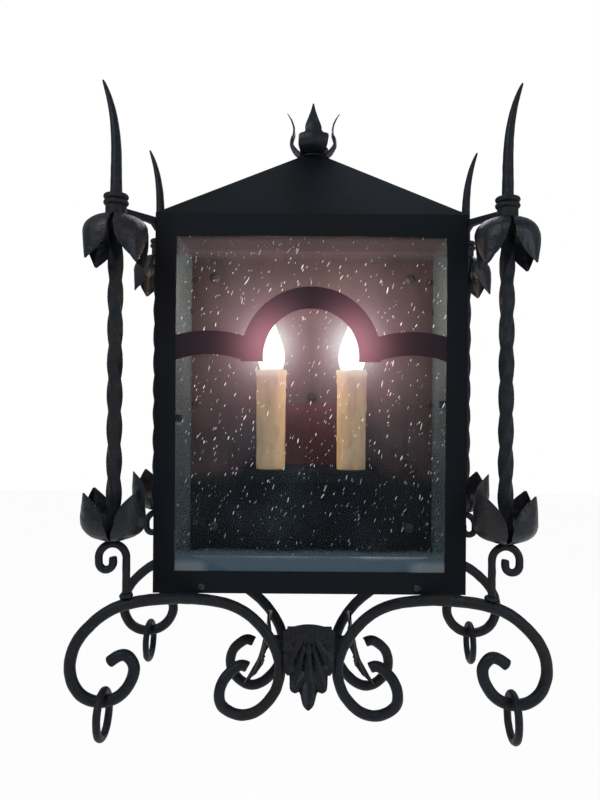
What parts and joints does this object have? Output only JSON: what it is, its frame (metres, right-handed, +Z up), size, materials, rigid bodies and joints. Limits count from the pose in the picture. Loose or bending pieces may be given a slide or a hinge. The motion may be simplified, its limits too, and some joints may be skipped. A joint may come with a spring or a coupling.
{
  "type": "wall lantern",
  "caption": "Forged iron wall lantern: glazed box with a hipped roof, twisted posts, flower cups, scrolls, hanging rings, a leaf pendant and candle lamps.",
  "frame": {"origin": "centre of the mounting strap's rear face, on the wall plane", "axes": "+X to the right as seen from the front, +Y into the wall, +Z up; the front faces -Y"},
  "size_m": [0.4906, 0.2815, 0.6906],
  "materials": {
    "frame_iron": "satin near-black",
    "roof_iron": "satin near-black sheet",
    "forged_iron": "forged near-black with a dull sheen",
    "back_sheet": "matt brown primer",
    "steel": "zinc plated, dull",
    "dark_steel": "blackened",
    "seeded_glass": "clear with drawn seeds",
    "candle": "cream beeswax coated tube",
    "phenolic": "black phenolic",
    "contact_brass": "bright",
    "screw_shell": "nickelled brass",
    "bulb_glass": "clear",
    "wire": "soft sleeving",
    "block": "moulded"
  },
  "bodies": {
    "lantern": {"front_frame": "frame_iron", "rear_frame": "frame_iron", "side_rails": "frame_iron", "roof": "roof_iron", "finial_base": "roof_iron", "finial_petals": "forged_iron", "finial_nut": "dark_steel", "finial_bolt": "steel", "arch_bar": "frame_iron", "front_glass": "seeded_glass", "left_glass": "seeded_glass", "right_glass": "seeded_glass", "glass_clips": "dark_steel", "back_plate": "back_sheet", "mounting_strap": "steel", "strap_studs": "steel", "cap_nuts": "dark_steel", "wiring_box": "back_sheet", "terminal_block": "block", "lamp_wires": "wire", "machine_screws": "dark_steel", "candle_tray": "frame_iron", "nipples": "steel", "nipple_nuts": "steel", "sockets": "phenolic", "socket_contacts": "contact_brass", "left_candle_cover": "candle", "right_candle_cover": "candle", "frame_lugs": "frame_iron", "lug_screws": "dark_steel", "front_left_post": "forged_iron", "front_right_post": "forged_iron", "rear_left_post": "forged_iron", "rear_right_post": "forged_iron", "collars": "forged_iron", "top_arms": "forged_iron", "front_left_upper_cup": "forged_iron", "front_right_upper_cup": "forged_iron", "rear_left_upper_cup": "forged_iron", "rear_right_upper_cup": "forged_iron", "front_left_lower_cup": "forged_iron", "front_right_lower_cup": "forged_iron", "rear_left_lower_cup": "forged_iron", "rear_right_lower_cup": "forged_iron", "hooks": "forged_iron", "front_left_scroll": "forged_iron", "front_right_scroll": "forged_iron", "rear_left_scroll": "forged_iron", "rear_right_scroll": "forged_iron", "pendant_bracket": "forged_iron", "pendant_leaves": "forged_iron"},
    "left_lamp": {"left_bulb": "bulb_glass", "left_bulb_base": "screw_shell"},
    "right_lamp": {"right_bulb": "bulb_glass", "right_bulb_base": "screw_shell"},
    "front_left_ring_body": {"front_left_ring": "forged_iron"},
    "front_right_ring_body": {"front_right_ring": "forged_iron"},
    "rear_left_ring_body": {"rear_left_ring": "forged_iron"},
    "rear_right_ring_body": {"rear_right_ring": "forged_iron"}
  },
  "joints": [
    {"name": "left_bulb_turn", "type": "hinge", "parent": "lantern", "child": "left_lamp", "pos_m": [-0.048, -0.105, 0.015], "axis": [0, 0, 1], "continuous": true},
    {"name": "right_bulb_turn", "type": "hinge", "parent": "lantern", "child": "right_lamp", "pos_m": [0.048, -0.105, 0.015], "axis": [0, 0, 1], "continuous": true},
    {"name": "front_left_ring_swing", "type": "hinge", "parent": "lantern", "child": "front_left_ring_body", "pos_m": [-0.20512, -0.249, -0.29982], "axis": [1, 0, 0], "range_deg": [-80, 80]},
    {"name": "front_right_ring_swing", "type": "hinge", "parent": "lantern", "child": "front_right_ring_body", "pos_m": [0.20512, -0.249, -0.29982], "axis": [1, 0, 0], "range_deg": [-80, 80]},
    {"name": "rear_left_ring_swing", "type": "hinge", "parent": "lantern", "child": "rear_left_ring_body", "pos_m": [-0.20512, -0.04, -0.29332], "axis": [1, 0, 0], "range_deg": [-80, 80]},
    {"name": "rear_right_ring_swing", "type": "hinge", "parent": "lantern", "child": "rear_right_ring_body", "pos_m": [0.20512, -0.04, -0.29332], "axis": [1, 0, 0], "range_deg": [-80, 80]}
  ]
}
